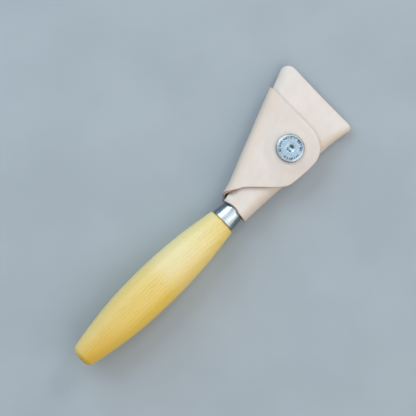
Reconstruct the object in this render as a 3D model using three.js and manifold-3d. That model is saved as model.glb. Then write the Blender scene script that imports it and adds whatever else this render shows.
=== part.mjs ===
// A spoon carver's hook knife in its leather wrap sheath, lying on a table.
// Millimetres. x runs from the butt of the handle to the end of the sheath, y towards the side that
// the hook curls to, and z up from the table. The finished group is centred on its own bounding box.
import * as THREE from 'three';
import { mergeVertices } from 'three/addons/utils/BufferGeometryUtils.js';
import Module from 'manifold-3d';

const wasm = await Module();
wasm.setup();
const { clamp, degToRad, lerp, smoothstep } = THREE.MathUtils;

// Clearance between neighbouring pieces.
const GAP = 0.3;

// Knife, in its own frame: the x axis is the axis that the handle was turned on.
const KNIFE_TILT = degToRad(3.3);
const HANDLE_FRONT = 104.5;
const BUTT_START = 1.2;
const BUTT_FLAT_RADIUS = 2.4;
const BUTT_DOME = new THREE.Vector2(4, 6.75);
const HANDLE_SWELL = [[13, 8.4], [26, 10.35], [39, 11.6], [55, 12.05], [68, 11.8], [81, 10.95], [93, 9.5]];
const HANDLE_FRONT_RADIUS = 7.6;
const HANDLE_CHAMFER = 0.5;
const TENON_RADIUS = 5.6;
const TENON_TIP_RADIUS = 4.4;
const TENON_END = 115.2;
const BORE_RADIUS = 3.1;
const BORE_BOTTOM = 50;
const JOINT = 0.65;
const FERRULE_START = HANDLE_FRONT + JOINT;
const FERRULE_END = 118;
const FERRULE_RADIUS = 7;
const FERRULE_TAPER = 0.105;
const FERRULE_WALL = 1;
const FERRULE_NOSE = 1.6;
const FERRULE_HOLE = 3.1;

// Hook blade: a flat band on edge. The tang is straight, the shank swings out, and the hook curls back.
const TANG_TIP = 54;
const TANG_HALF_HEIGHT = 2.4;
const TANG_TIP_HALF_HEIGHT = 1.5;
const SHOULDER_START = FERRULE_END + 0.6;
const SHOULDER_END = 122;
const BLADE_HALF_HEIGHT = 3.5;
const BLADE_THICKNESS = 2;
const BEVEL_HEIGHT = 3.2;
const BEVEL_EDGE = 0.3;
const SHANK_STRAIGHT_END = 136;
const HOOK_CENTRE = new THREE.Vector2(158.7, 8.2);
const HOOK_RADIUS = 12.8;
const HOOK_END_ANGLE = degToRad(115);
const TIP_TAPER_ANGLE = degToRad(60);
const TIP_SHARE = 0.35;

// Leather wrap.
const LEATHER = 2;
const MOUTH_LEFT = 113;
const MOUTH_RIGHT = 113.6;
const SHEATH_END = 188.6;
const FLAP_START = 125.5;
const FLAP_END = 172.6;
const FULL_FOLD = 123.6;
const FOLD_START = new THREE.Vector2(116.2, 10);
const FOLD_ANGLE = degToRad(22.75);
const EAR_INSET = 2.2;
const EAR_RADIUS = 4;
const EAR_START = 173.2;
const LAYER_STEP = LEATHER + GAP;
const FRONT_TURN_WIDTH = 7;
const FRONT_TURN = 0.88;
const MOUTH_TURN_INSET = -0.5;
const MOUTH_TURN_END = 119;
const MOUTH_TURN_FADE = 8;
const INNER_TURN_INSET = 1.6;
const NOSE_DROOP = 0.02;
const LEFT_FULLNESS = 3.4;
const RIGHT_FULLNESS = 2.2;

// Snap fastener, 15 mm cap.
const SNAP = new THREE.Vector2(156.8, 2.9);
const SNAP_FLAT_RADIUS = 7.6;
const SNAP_BLEND_RADIUS = 15;
const SNAP_FRONT_SINK = 0.8;
const SNAP_FLAP_RISE = 1.4;
const SNAP_SEAT = 0.1;
const CAP_RADIUS = 7.5;
const CAP_STEM_RADIUS = 1.6;
const FLAP_HOLE_RADIUS = 2.1;
const POST_RADIUS = 1.4;
const FRONT_HOLE_RADIUS = 1.8;

const materials = {
  wood: { color: 0xd9b35c, roughness: 0.5, metalness: 0 },
  steel: { color: 0xa9b4bd, roughness: 0.25, metalness: 1 },
  leather: { color: 0xe2d3c8, roughness: 0.8, metalness: 0 },
  plated: { color: 0x9db4c4, roughness: 0.35, metalness: 1 },
  brass: { color: 0xb08d4a, roughness: 0.4, metalness: 1 },
};

function piece(name, geometry, look) {
  const mesh = new THREE.Mesh(geometry, new THREE.MeshStandardMaterial(materials[look]));
  mesh.name = name;
  return mesh;
}

// A smooth function of x through the given [x, value] points.
function track(points) {
  const slope = points.map((_, i) => {
    const a = points[Math.max(i - 1, 0)];
    const b = points[Math.min(i + 1, points.length - 1)];
    return (b[1] - a[1]) / (b[0] - a[0]);
  });
  return (x) => {
    const after = points.findIndex(([px]) => px > x);
    const i = after < 0 ? points.length - 2 : Math.max(after - 1, 0);
    const [[x0, y0], [x1, y1]] = [points[i], points[i + 1]];
    const span = x1 - x0;
    const t = clamp((x - x0) / span, 0, 1);
    const rise = t * t * (3 - 2 * t);
    const lead = t * (1 - t) * (1 - t) * slope[i];
    const trail = t * t * (1 - t) * slope[i + 1];
    return lerp(y0, y1, rise) + span * (lead - trail);
  };
}

// A closed mesh from rings of points that all have the same count, with flat ends.
function loft(rings) {
  const count = rings[0].length;
  const positions = rings.flat().flatMap((p) => [p.x, p.y, p.z]);
  const faces = [];
  for (let i = 0; i + 1 < rings.length; i++) {
    for (let j = 0; j < count; j++) {
      const a = i * count + j;
      const b = i * count + ((j + 1) % count);
      faces.push(a, b, b + count, a, b + count, a + count);
    }
  }
  const last = (rings.length - 1) * count;
  for (let j = 1; j + 1 < count; j++) {
    faces.push(0, j + 1, j, last, last + j, last + j + 1);
  }
  return closedGeometry(positions, faces);
}

// A geometry whose faces point out, whichever way they were wound.
function closedGeometry(positions, faces) {
  const at = (i) => new THREE.Vector3().fromArray(positions, 3 * i);
  let volume = 0;
  for (let k = 0; k < faces.length; k += 3) {
    volume += at(faces[k]).dot(at(faces[k + 1]).cross(at(faces[k + 2])));
  }
  const geometry = new THREE.BufferGeometry();
  geometry.setAttribute('position', new THREE.Float32BufferAttribute(positions, 3));
  geometry.setIndex(volume > 0 ? faces : faces.toReversed());
  return geometry;
}

// A sheet of leather: middle(u, v) gives its middle surface, and half its thickness lies on each side.
function sheet(middle, across, along) {
  const step = 1e-3;
  const sides = [1, -1].map((side) => {
    const points = [];
    for (let i = 0; i <= across; i++) {
      for (let j = 0; j <= along; j++) {
        const [u, v] = [i / across, j / along];
        const du = middle(Math.min(u + step, 1), v).sub(middle(Math.max(u - step, 0), v));
        const dv = middle(u, Math.min(v + step, 1)).sub(middle(u, Math.max(v - step, 0)));
        const normal = du.cross(dv).normalize();
        points.push(middle(u, v).addScaledVector(normal, (side * LEATHER) / 2));
      }
    }
    return points;
  });
  const row = along + 1;
  const under = sides[0].length;
  const positions = sides.flat().flatMap((p) => [p.x, p.y, p.z]);
  const faces = [];
  const quad = (a, b, c, d) => faces.push(a, b, c, a, c, d);
  for (let i = 0; i < across; i++) {
    for (let j = 0; j < along; j++) {
      const a = i * row + j;
      quad(a, a + row, a + row + 1, a + 1);
      quad(under + a, under + a + 1, under + a + row + 1, under + a + row);
    }
    const [low, high] = [i * row, i * row + along];
    quad(low, under + low, under + low + row, low + row);
    quad(high, high + row, under + high + row, under + high);
  }
  for (let j = 0; j < along; j++) {
    const far = across * row + j;
    quad(j, j + 1, under + j + 1, under + j);
    quad(far, under + far, under + far + 1, far + 1);
  }
  return closedGeometry(positions, faces);
}

function bare(geometry) {
  geometry.deleteAttribute('normal');
  geometry.deleteAttribute('uv');
  const merged = mergeVertices(geometry, 1e-4);
  return closedGeometry(Array.from(merged.attributes.position.array), Array.from(merged.index.array));
}

function solid(geometry) {
  return new wasm.Manifold(new wasm.Mesh({
    numProp: 3,
    vertProperties: new Float32Array(geometry.attributes.position.array),
    triVerts: new Uint32Array(geometry.index.array),
  }));
}

// The geometry with a round hole straight down through it.
function pierce(geometry, centre, radius, sides = 24) {
  const drill = new THREE.CylinderGeometry(radius, radius, 40, sides);
  drill.rotateX(Math.PI / 2).translate(centre.x, centre.y, 12);
  const { vertProperties, triVerts } = solid(geometry).subtract(solid(bare(drill))).getMesh();
  const cut = new THREE.BufferGeometry();
  cut.setAttribute('position', new THREE.BufferAttribute(vertProperties, 3));
  cut.setIndex(new THREE.BufferAttribute(triVerts, 1));
  return cut;
}

// A solid of revolution about the x axis, from [x, radius] points.
function turned(profile, sides) {
  const points = profile.map(([x, radius]) => new THREE.Vector2(radius, x));
  return bare(new THREE.LatheGeometry(points, sides).rotateZ(-Math.PI / 2));
}

// A solid of revolution about the snap's upright axis, from [radius, z] points.
function snapPiece(profile, sides = 32) {
  const points = profile.map(([radius, z]) => new THREE.Vector2(radius, z));
  return bare(new THREE.LatheGeometry(points, sides).rotateX(Math.PI / 2).translate(SNAP.x, SNAP.y, 0));
}

// ---- Knife ----

function handleProfile() {
  const [domeLength, domeRadius] = BUTT_DOME.toArray();
  const rim = domeRadius - BUTT_FLAT_RADIUS;
  const dome = [0, 20, 40, 60, 80].map((angle) => {
    const a = degToRad(angle);
    return [BUTT_START + domeLength * (1 - Math.cos(a)), BUTT_FLAT_RADIUS + rim * Math.sin(a)];
  });
  const knots = [[BUTT_START + domeLength + 1, domeRadius + 0.4], ...HANDLE_SWELL];
  knots.push([HANDLE_FRONT - HANDLE_CHAMFER, HANDLE_FRONT_RADIUS + HANDLE_CHAMFER / 2]);
  const swell = track(knots);
  const [first, last] = [knots[0][0], knots.at(-1)[0]];
  const steps = 20;
  const body = Array.from({ length: steps + 1 }, (_, i) => {
    const x = lerp(first, last, i / steps);
    return [x, swell(x)];
  });
  return [...dome, ...body, [HANDLE_FRONT, HANDLE_FRONT_RADIUS - HANDLE_CHAMFER / 2]];
}

function makeHandle() {
  const inside = [
    [HANDLE_FRONT, TENON_RADIUS],
    [TENON_END, TENON_TIP_RADIUS],
    [TENON_END, BORE_RADIUS],
    [BORE_BOTTOM, BORE_RADIUS],
    [BORE_BOTTOM, 0],
  ];
  return piece('handle', turned([[BUTT_START, 0], ...handleProfile(), ...inside], 36), 'wood');
}

function makeFerrule() {
  const outer = (x) => FERRULE_RADIUS - FERRULE_TAPER * (x - FERRULE_START);
  const noseBack = FERRULE_END - FERRULE_NOSE;
  const profile = [
    [FERRULE_START, outer(FERRULE_START) - FERRULE_WALL],
    [FERRULE_START, outer(FERRULE_START)],
    [FERRULE_END - 0.5, outer(FERRULE_END - 0.5)],
    [FERRULE_END, outer(FERRULE_END) - 0.5],
    [FERRULE_END, FERRULE_HOLE],
    [noseBack, FERRULE_HOLE],
    [noseBack, outer(noseBack) - FERRULE_WALL],
  ];
  return piece('ferrule', turned([...profile, profile[0]], 36), 'steel');
}

// Places along the middle of the blade, each with its heading and how much of the blade's height is left.
function bladeStations() {
  const stations = [];
  const add = (x, y, heading, share) => stations.push({ x, y, heading, share });
  for (const x of [TANG_TIP, 80, FERRULE_END, SHOULDER_START, SHOULDER_END, 130]) {
    add(x, 0, 0, 1);
  }
  const swing = HOOK_CENTRE.y - HOOK_RADIUS;
  const swingLength = HOOK_CENTRE.x - SHANK_STRAIGHT_END;
  for (let i = 0; i < 10; i++) {
    const t = i / 10;
    const heading = Math.atan((swing * 6 * t * (1 - t)) / swingLength);
    add(SHANK_STRAIGHT_END + t * swingLength, swing * t * t * (3 - 2 * t), heading, 1);
  }
  const sweep = HOOK_END_ANGLE + Math.PI / 2;
  const steps = 28;
  for (let i = 0; i <= steps; i++) {
    const turn = (i / steps) * sweep;
    const angle = turn - Math.PI / 2;
    const left = smoothstep(sweep - turn, 0, TIP_TAPER_ANGLE);
    const x = HOOK_CENTRE.x + HOOK_RADIUS * Math.cos(angle);
    const y = HOOK_CENTRE.y + HOOK_RADIUS * Math.sin(angle);
    add(x, y, turn, lerp(TIP_SHARE, 1, Math.sqrt(left)));
  }
  return stations;
}

// The section of the blade: flat inside the hook, and bevelled to the cutting edge outside it.
function bladeSection({ x, y, heading, share }) {
  const taper = smoothstep(x, TANG_TIP, 90);
  const tang = lerp(TANG_TIP_HALF_HEIGHT, TANG_HALF_HEIGHT, taper);
  const formed = smoothstep(x, SHOULDER_START, SHOULDER_END);
  const edge = lerp(tang, BLADE_HALF_HEIGHT, formed);
  const spine = edge - 2 * edge * share;
  const half = (BLADE_THICKNESS / 2) * lerp(0.6, 1, share);
  const bevelStart = edge - lerp(0.4, BEVEL_HEIGHT, formed) * share;
  const bevelled = lerp(-half, half - BEVEL_EDGE, formed);
  const outline = [[half, spine], [half, edge], [bevelled, edge], [-half, bevelStart], [-half, spine]];
  const [side, front] = [Math.cos(heading), Math.sin(heading)];
  return outline.map(([n, z]) => new THREE.Vector3(x - n * front, y + n * side, z));
}

function makeBlade() {
  return piece('hook_blade', loft(bladeStations().map(bladeSection)), 'steel');
}

function makeKnife() {
  const knife = new THREE.Group();
  knife.add(makeHandle(), makeFerrule(), makeBlade());
  knife.rotation.y = KNIFE_TILT;
  const reach = ([x, radius]) => x * Math.sin(KNIFE_TILT) + radius * Math.cos(KNIFE_TILT);
  knife.position.z = Math.max(...handleProfile().map(reach));
  return knife;
}

// ---- Leather ----

// Outer right side of the sheath.
const rightSide = track([[MOUTH_RIGHT, -8.3], [135, -8.9], [166, -10.2], [178, -11.1], [SHEATH_END, -12.9]]);
// Top of the front panel's leather.
const frontTop = track([
  [MOUTH_LEFT, 17.5], [122, 16.4], [135, 14.6], [156, 13.6], [168, 13], [SHEATH_END, 6.4],
]);
// How far the two folds reach sideways from where they leave the flat leather.
const rightReach = track([[MOUTH_RIGHT, 4.8], [135, 6], [168, 6], [SHEATH_END, 2.3]]);
const leftReach = track([[MOUTH_LEFT, 4.9], [130, 7], [FLAP_END, 7]]);
// How far round the left fold goes: a little over a quarter turn at the mouth, and half a turn at the flap.
const partTurn = track([
  [MOUTH_LEFT, 1.3], [114.6, 1.75], [116, 2.1], [117.6, 2.4], [120.4, 2.72], [122.6, 2.99],
  [FULL_FOLD, Math.PI],
]);
// How far the front panel's left edge stops short of the sheath's left side.
const frontRecess = track([
  [MOUTH_LEFT, 1.1], [114, 2.2], [115, 2.95], [116, 3.25], [118, 3.5], [120.4, 4.1],
  [FULL_FOLD, 6.4], [127, 8.5], [130, 9],
]);
// The fold's mouth is rounded at its corner and springs open a little behind it.
const mouthFlare = track([[MOUTH_LEFT, -0.6], [114.2, 0.3], [116, 0.75], [119.4, 0.37], [FULL_FOLD, 0]]);
// Right edge of the flap, from the mouth round the nose to its end.
const flapEdge = track([
  [FULL_FOLD, 6.2], [124.7, 5.35], [126.2, 4.15], [129.1, 1.4], [131.5, -1], [139, -8], [143, -10.5],
  [149, -11.3], [158, -11.6], [163, -11.2], [167.2, -9], [170, -5.8], [171.8, -2], [FLAP_END, 2],
]);

const leftTurn = (x) => (x < FULL_FOLD ? Math.min(partTurn(x), Math.PI) : Math.PI);
const leftSide = (x) => FOLD_START.y + (x - FOLD_START.x) * Math.tan(FOLD_ANGLE) + mouthFlare(x);
const rightStart = (x) => rightSide(x) + LEATHER / 2 + rightReach(x);
const leftStart = (x) => leftSide(x) - LEATHER / 2 - leftReach(x);
const earSide = (x) => leftSide(x) - EAR_INSET;
const EAR_CENTRE = new THREE.Vector2(
  SHEATH_END - EAR_RADIUS,
  earSide(SHEATH_END - EAR_RADIUS) - EAR_RADIUS / Math.cos(FOLD_ANGLE),
);

// 1 on the flat seat of the snap, falling to 0 in the leather around it.
function snapSeat(x, y) {
  return 1 - smoothstep(SNAP.distanceTo({ x, y }), SNAP_FLAT_RADIUS, SNAP_BLEND_RADIUS);
}

// The front panel lies over the blade. It turns down beside the ferrule at the mouth, and down to the
// back panel at the ear.
function frontMiddle(x, y) {
  const plain = lerp(frontTop(x), frontTop(SNAP.x) - SNAP_FRONT_SINK, snapSeat(x, y)) - LEATHER / 2;
  const atEar = x >= EAR_START;
  const inset = lerp(MOUTH_TURN_INSET, INNER_TURN_INSET, smoothstep(x, MOUTH_LEFT + 1, MOUTH_TURN_END));
  const side = atEar ? earSide(x) : leftSide(x) - inset;
  const lowest = atEar ? LEATHER * 1.5 + GAP : frontTop(x) / 2;
  const share = atEar ? 1 : 1 - smoothstep(x, FULL_FOLD, FULL_FOLD + MOUTH_TURN_FADE);
  const round = FRONT_TURN * clamp((y - side) / FRONT_TURN_WIDTH + 1, 0, 1);
  const turned = (1 - Math.sqrt(1 - round ** 2)) / (1 - Math.sqrt(1 - FRONT_TURN ** 2));
  return plain - Math.max(plain - lowest, 0) * turned * share;
}

function flapMiddle(x, y) {
  const seated = frontTop(SNAP.x) + LAYER_STEP + SNAP_FLAP_RISE;
  const plain = lerp(frontTop(x) + LAYER_STEP, seated, snapSeat(x, y)) - LEATHER / 2;
  return plain - NOSE_DROOP * Math.max(rightStart(x) - y, 0) ** 2;
}

// Left edge of the front panel: at the mouth it turns down beside the ferrule, under the flap it stops
// short of the fold, and past the flap it reaches the ear.
function frontEdge(x) {
  if (x < EAR_START) {
    return leftSide(x) - frontRecess(x);
  }
  return earEdge(x) - 0.2;
}

// The ear's side, and the arc that rounds its corner.
function earEdge(x) {
  const past = x - EAR_CENTRE.x;
  if (past < -EAR_RADIUS * Math.sin(FOLD_ANGLE)) {
    return earSide(x);
  }
  return EAR_CENTRE.y + Math.sqrt(Math.max(EAR_RADIUS ** 2 - past ** 2, 0));
}

function makeBack() {
  const stations = (from, to, count) => {
    return Array.from({ length: count + 1 }, (_, i) => lerp(from, to, i / count));
  };
  const shape = new THREE.Shape();
  shape.moveTo(MOUTH_RIGHT, rightStart(MOUTH_RIGHT) + GAP);
  for (const x of stations(MOUTH_RIGHT, SHEATH_END, 12).slice(1)) {
    shape.lineTo(x, rightStart(x) + GAP);
  }
  for (const angle of stations(0, Math.PI / 2 + FOLD_ANGLE, 8)) {
    shape.lineTo(EAR_CENTRE.x + EAR_RADIUS * Math.cos(angle), EAR_CENTRE.y + EAR_RADIUS * Math.sin(angle));
  }
  shape.lineTo(FLAP_END + GAP, earSide(FLAP_END + GAP));
  for (const x of stations(FLAP_END + GAP, MOUTH_LEFT, 12)) {
    shape.lineTo(x, leftStart(x) - GAP);
  }
  const sheet = new THREE.ExtrudeGeometry(shape, { depth: LEATHER, bevelEnabled: false });
  return piece('sheath_back', sheet, 'leather');
}

// A fold: from the flat back at turn 0 to the layer above at half a turn. Fullness 2 is an ellipse.
function foldPoint(x, start, reach, height, turn, fullness) {
  const rise = (height - LEATHER) / 2;
  const [sin, cos] = [Math.sin(turn), Math.cos(turn)];
  const full = (Math.abs(sin) ** fullness + Math.abs(cos) ** fullness) ** (-1 / fullness);
  return new THREE.Vector3(x, start + reach * sin * full, LEATHER / 2 + rise * (1 - cos * full));
}

function makeRightFold() {
  const middle = (u, v) => {
    const x = lerp(MOUTH_RIGHT, SHEATH_END, u);
    const height = frontMiddle(x, rightStart(x)) + LEATHER / 2;
    return foldPoint(x, rightStart(x), -rightReach(x), height, v * Math.PI, RIGHT_FULLNESS);
  };
  return piece('right_fold', sheet(middle, 18, 10), 'leather');
}

function makeLeftFold() {
  const middle = (u, v) => {
    const x = lerp(MOUTH_LEFT, FLAP_END, u);
    const height = frontTop(x) + LAYER_STEP;
    return foldPoint(x, leftStart(x), leftReach(x), height, v * leftTurn(x), LEFT_FULLNESS);
  };
  return piece('left_fold', sheet(middle, 18, 10), 'leather');
}

function makeFrontPanel() {
  const middle = (u, v) => {
    const x = lerp(MOUTH_LEFT, SHEATH_END, u);
    const y = lerp(rightStart(x) + GAP, frontEdge(x), v);
    return new THREE.Vector3(x, y, frontMiddle(x, y));
  };
  return piece('front_panel', pierce(sheet(middle, 34, 14), SNAP, FRONT_HOLE_RADIUS), 'leather');
}

function makeFlapPanel() {
  const middle = (u, v) => {
    const x = lerp(FLAP_START, FLAP_END, Math.sin((u * Math.PI) / 2));
    const y = lerp(leftStart(x) - GAP, flapEdge(x), v);
    return new THREE.Vector3(x, y, flapMiddle(x, y));
  };
  return piece('flap_panel', pierce(sheet(middle, 26, 12), SNAP, FLAP_HOLE_RADIUS), 'leather');
}

// ---- Snap ----

function makeSnapCap(flapTop, flapUnder) {
  const base = flapTop + SNAP_SEAT;
  const profile = [
    [0, flapUnder - 0.5], [CAP_STEM_RADIUS, flapUnder - 0.5], [CAP_STEM_RADIUS, base],
    [CAP_RADIUS - 0.5, base], [CAP_RADIUS, base + 0.6], [CAP_RADIUS - 0.3, base + 1.6],
    [CAP_RADIUS - 0.9, base + 1.9], [CAP_RADIUS - 1.5, base + 1.5], [1.9, base + 1.35], [0.9, base + 0.9],
    [0, base + 0.85],
  ];
  return piece('snap_cap', snapPiece(profile), 'plated');
}

function makeSnapSocket(flapUnder, frontTopAtSnap) {
  const top = flapUnder - SNAP_SEAT;
  const bottom = frontTopAtSnap + SNAP_SEAT + 0.6 + 0.1;
  const profile = [
    [CAP_STEM_RADIUS + GAP, top], [6.2, top], [6.2, top - 0.6], [4.8, top - 0.7], [4.6, bottom],
    [3.2, bottom], [3.2, bottom + 0.2], [3.7, bottom + 0.25], [3.7, top - 0.45],
    [CAP_STEM_RADIUS + GAP, top - 0.45],
  ];
  return piece('snap_socket', snapPiece([...profile, profile[0]]), 'plated');
}

function makeSnapSpring(frontTopAtSnap) {
  const [radius, wire] = [3.25, 0.22];
  const ring = new THREE.TorusGeometry(radius, wire, 8, 32);
  ring.translate(SNAP.x, SNAP.y, frontTopAtSnap + SNAP_SEAT + 1.4);
  return piece('snap_spring', bare(ring), 'brass');
}

function makeSnapStud(frontTopAtSnap) {
  const base = frontTopAtSnap + SNAP_SEAT;
  const profile = [
    [1.7, base], [5, base], [5, base + 0.5], [2.4, base + 0.6], [2.3, base + 1.1], [2.7, base + 1.35],
    [2.5, base + 1.6], [1.7, base + 1.65],
  ];
  return piece('snap_stud', snapPiece([...profile, profile[0]]), 'plated');
}

function makeSnapPost(frontUnder, frontTopAtSnap) {
  const top = frontUnder - SNAP_SEAT;
  const profile = [
    [0.9, top - 0.6], [4.8, top - 0.4], [4.8, top], [POST_RADIUS, top], [POST_RADIUS, frontTopAtSnap + 1.5],
    [0.9, frontTopAtSnap + 1.5],
  ];
  return piece('snap_post', snapPiece([...profile, profile[0]]), 'plated');
}

function makeSnap() {
  const frontSurface = frontTop(SNAP.x) - SNAP_FRONT_SINK;
  const flapSurface = frontTop(SNAP.x) + LAYER_STEP + SNAP_FLAP_RISE;
  const snap = new THREE.Group();
  snap.add(
    makeSnapCap(flapSurface, flapSurface - LEATHER),
    makeSnapSocket(flapSurface - LEATHER, frontSurface),
    makeSnapSpring(frontSurface),
    makeSnapStud(frontSurface),
    makeSnapPost(frontSurface - LEATHER, frontSurface),
  );
  return snap;
}

// ---- Whole ----

const sheath = new THREE.Group();
sheath.add(makeBack(), makeRightFold(), makeLeftFold(), makeFrontPanel(), makeFlapPanel(), makeSnap());

const group = new THREE.Group();
group.add(makeKnife(), sheath);
const bounds = new THREE.Box3().setFromObject(group, true);
const centre = bounds.getCenter(new THREE.Vector3());
group.position.set(-centre.x, -centre.y, -bounds.min.z);

export default group;
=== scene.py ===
"""A spoon carver's hook knife in its leather wrap sheath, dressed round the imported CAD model.

Lengths are in millimetres until a mesh is made. x runs from the butt of the handle to the end of the
sheath, y towards the side that the hook curls to, and z up from the table.
"""

import math

import bmesh
import bpy
import numpy as np
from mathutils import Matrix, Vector, noise
from mathutils.geometry import delaunay_2d_cdt


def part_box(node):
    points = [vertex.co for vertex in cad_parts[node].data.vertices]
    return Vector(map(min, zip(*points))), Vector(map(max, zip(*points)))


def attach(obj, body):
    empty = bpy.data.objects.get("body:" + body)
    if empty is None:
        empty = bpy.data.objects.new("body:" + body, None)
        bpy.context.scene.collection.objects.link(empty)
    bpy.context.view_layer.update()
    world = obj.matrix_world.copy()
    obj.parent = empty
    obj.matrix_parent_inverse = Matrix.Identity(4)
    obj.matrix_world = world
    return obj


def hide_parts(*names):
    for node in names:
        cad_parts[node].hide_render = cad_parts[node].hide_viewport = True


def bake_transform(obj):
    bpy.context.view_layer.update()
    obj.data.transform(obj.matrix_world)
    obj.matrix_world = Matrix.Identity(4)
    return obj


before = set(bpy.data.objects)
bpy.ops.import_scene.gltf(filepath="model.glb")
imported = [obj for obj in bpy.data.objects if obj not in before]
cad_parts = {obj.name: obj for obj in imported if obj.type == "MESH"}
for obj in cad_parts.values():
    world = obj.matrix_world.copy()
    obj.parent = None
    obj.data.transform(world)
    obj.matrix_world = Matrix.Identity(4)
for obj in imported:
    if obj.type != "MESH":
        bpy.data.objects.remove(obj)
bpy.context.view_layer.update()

MM = 0.001
GAP = 0.3

# ---- Driving sizes: the knife, in its own frame about the axis that the handle was turned on ----

KNIFE_TILT = math.radians(3.3)
HANDLE_FRONT = 104.5
BUTT_START = 1.2
BUTT_FLAT_RADIUS = 2.4
BUTT_DOME_LENGTH = 4
BUTT_DOME_RADIUS = 6.75
HANDLE_SWELL = [(13, 8.4), (26, 10.35), (39, 11.6), (55, 12.05), (68, 11.8), (81, 10.95), (93, 9.5)]
HANDLE_FRONT_RADIUS = 7.6
HANDLE_CHAMFER = 0.5
TENON_RADIUS = 5.6
TENON_TIP_RADIUS = 4.4
TENON_END = 115.2
BORE_RADIUS = 3.1
BORE_BOTTOM = 50
JOINT = 0.65
FERRULE_START = HANDLE_FRONT + JOINT
FERRULE_END = 118
FERRULE_RADIUS = 7
FERRULE_TAPER = 0.105
FERRULE_WALL = 1
FERRULE_NOSE = 1.6
FERRULE_HOLE = 3.1
FERRULE_BEVEL = 0.6
TANG_TIP = 54
TANG_HALF_HEIGHT = 2.4
TANG_TIP_HALF_HEIGHT = 1.5
TANG_TAPER_END = 90
TANG_STATIONS = [60, 68, 76, 84, TANG_TAPER_END, 104]
SHOULDER_START = FERRULE_END + 0.6
SHOULDER_END = 122
SHOULDER_STATIONS = [119.4, 120.3, 121.2]
BLADE_HALF_HEIGHT = 3.5
BLADE_THICKNESS = 2
BEVEL_HEIGHT = 3.2
BEVEL_EDGE = 0.3
SHANK_MIDDLE = 129
SHANK_STRAIGHT_END = 136
HOOK_CENTRE = (158.7, 8.2)
HOOK_RADIUS = 12.8
HOOK_END_ANGLE = math.radians(115)
TIP_TAPER_ANGLE = math.radians(60)
TIP_SHARE = 0.35

# ---- Driving sizes: the leather ----

LEATHER = 2
MOUTH_LEFT = 113
MOUTH_RIGHT = 113.6
MOUTH_BOW = 0.95
SHEATH_END = 188.6
END_BOW = 0.3
MOUTH_SLANT = 0.35
MOUTH_SLANT_FADE = 5
MOUTH_LIP = 0.9
END_CORNER = 1.5
FLAP_END = 172.6
FULL_FOLD = 123.6
FOLD_START = (116.2, 10)
FOLD_ANGLE = math.radians(22.75)
EAR_INSET = 2.2
EAR_RADIUS = 4
EAR_SETBACK = 0.2
EAR_START = 173.2
EAR_BEGINS = 163
LAYER_STEP = LEATHER + GAP
FRONT_TURN_WIDTH = 7
FRONT_TURN = 0.88
MOUTH_TURN_INSET = -0.5
MOUTH_TURN_END = 119
MOUTH_TURN_FADE = 8
INNER_TURN_INSET = 1.6
NOSE_DROOP = 0.02
LEFT_FULLNESS = 3.4
RIGHT_FULLNESS = 2.2
SEAM = 1
SWELL_SCALE = 0.07
SWELL_HEIGHT = 0.16
FLAP_STILL = 0.35
FLAP_STILL_END = 132
EDGE_ROUND = 0.45
EDGE_STEP = 0.8
GRID = 0.85

# ---- Driving sizes: the snap ----

SNAP = (156.8, 2.9)
SNAP_FLAT_RADIUS = 7.6
SNAP_BLEND_RADIUS = 15
SNAP_FRONT_SINK = 0.8
SNAP_FLAP_RISE = 1.4
SNAP_SEAT = 0.1
CAP_RADIUS = 7.5
CAP_STEM_RADIUS = 1.6
CAP_MARKS = 26
POST_RADIUS = 1.4

cap_low, cap_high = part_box("snap_cap")
SHIFT = np.array([(cap_low.x + cap_high.x) / 2, (cap_low.y + cap_high.y) / 2, 0])
SHIFT[:2] -= np.array(SNAP) * MM


def clamp(value):
    return np.clip(value, 0.0, 1.0)


def ease(value, low, high):
    """0 below low, 1 above high, and smooth between."""
    t = clamp((value - low) / (high - low))
    return t * t * (3 - 2 * t)


def mix(a, b, share):
    return a + (b - a) * share


def track(points):
    """A smooth function of x through the given (x, value) points."""
    xs, values = np.array(points, float).T
    slopes = np.gradient(values, xs)
    slopes[1:-1] = (values[2:] - values[:-2]) / (xs[2:] - xs[:-2])

    def at(x):
        i = np.clip(np.searchsorted(xs, x, side="right") - 1, 0, len(xs) - 2)
        span = xs[i + 1] - xs[i]
        t = clamp((x - xs[i]) / span)
        lead = t * (1 - t) ** 2 * slopes[i]
        trail = t * t * (1 - t) * slopes[i + 1]
        return mix(values[i], values[i + 1], t * t * (3 - 2 * t)) + span * (lead - trail)

    return at


# ---- Mesh making ----


def new_piece(name, points, faces, material, crease=40):
    """A shaded mesh object from points in millimetres."""
    mesh = bpy.data.meshes.new(name)
    mesh.from_pydata((np.asarray(points) * MM + SHIFT).tolist(), [], faces)
    form = bmesh.new()
    form.from_mesh(mesh)
    bmesh.ops.recalc_face_normals(form, faces=form.faces)
    form.to_mesh(mesh)
    form.free()
    mesh.polygons.foreach_set("use_smooth", [True] * len(mesh.polygons))
    mesh.set_sharp_from_angle(angle=math.radians(crease))
    mesh.materials.append(material)
    piece = bpy.data.objects.new(name, mesh)
    bpy.context.scene.collection.objects.link(piece)
    return piece


def dress(piece, body, slot, *nodes):
    """The piece rides on a body and stands for these CAD nodes, which are hidden; the slot is not used."""
    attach(piece, body)
    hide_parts(*nodes)
    return piece


def softened(line, radius, closed, steps=4):
    """The line with each of its corners eased over a radius, or over less where its sides are short."""
    line = [np.array(p, float) for p in line]
    count = len(line)
    made = []
    for i, corner in enumerate(line):
        if not closed and i in (0, count - 1):
            made.append(corner)
            continue
        before, after = line[i - 1] - corner, line[(i + 1) % count] - corner
        ends = [side * min(radius / np.hypot(*side), 0.45) for side in (before, after)]
        for t in np.linspace(0, 1, steps + 1):
            made.append(corner + ends[0] * (1 - t) ** 2 + ends[1] * t * t)
    return made


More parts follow.
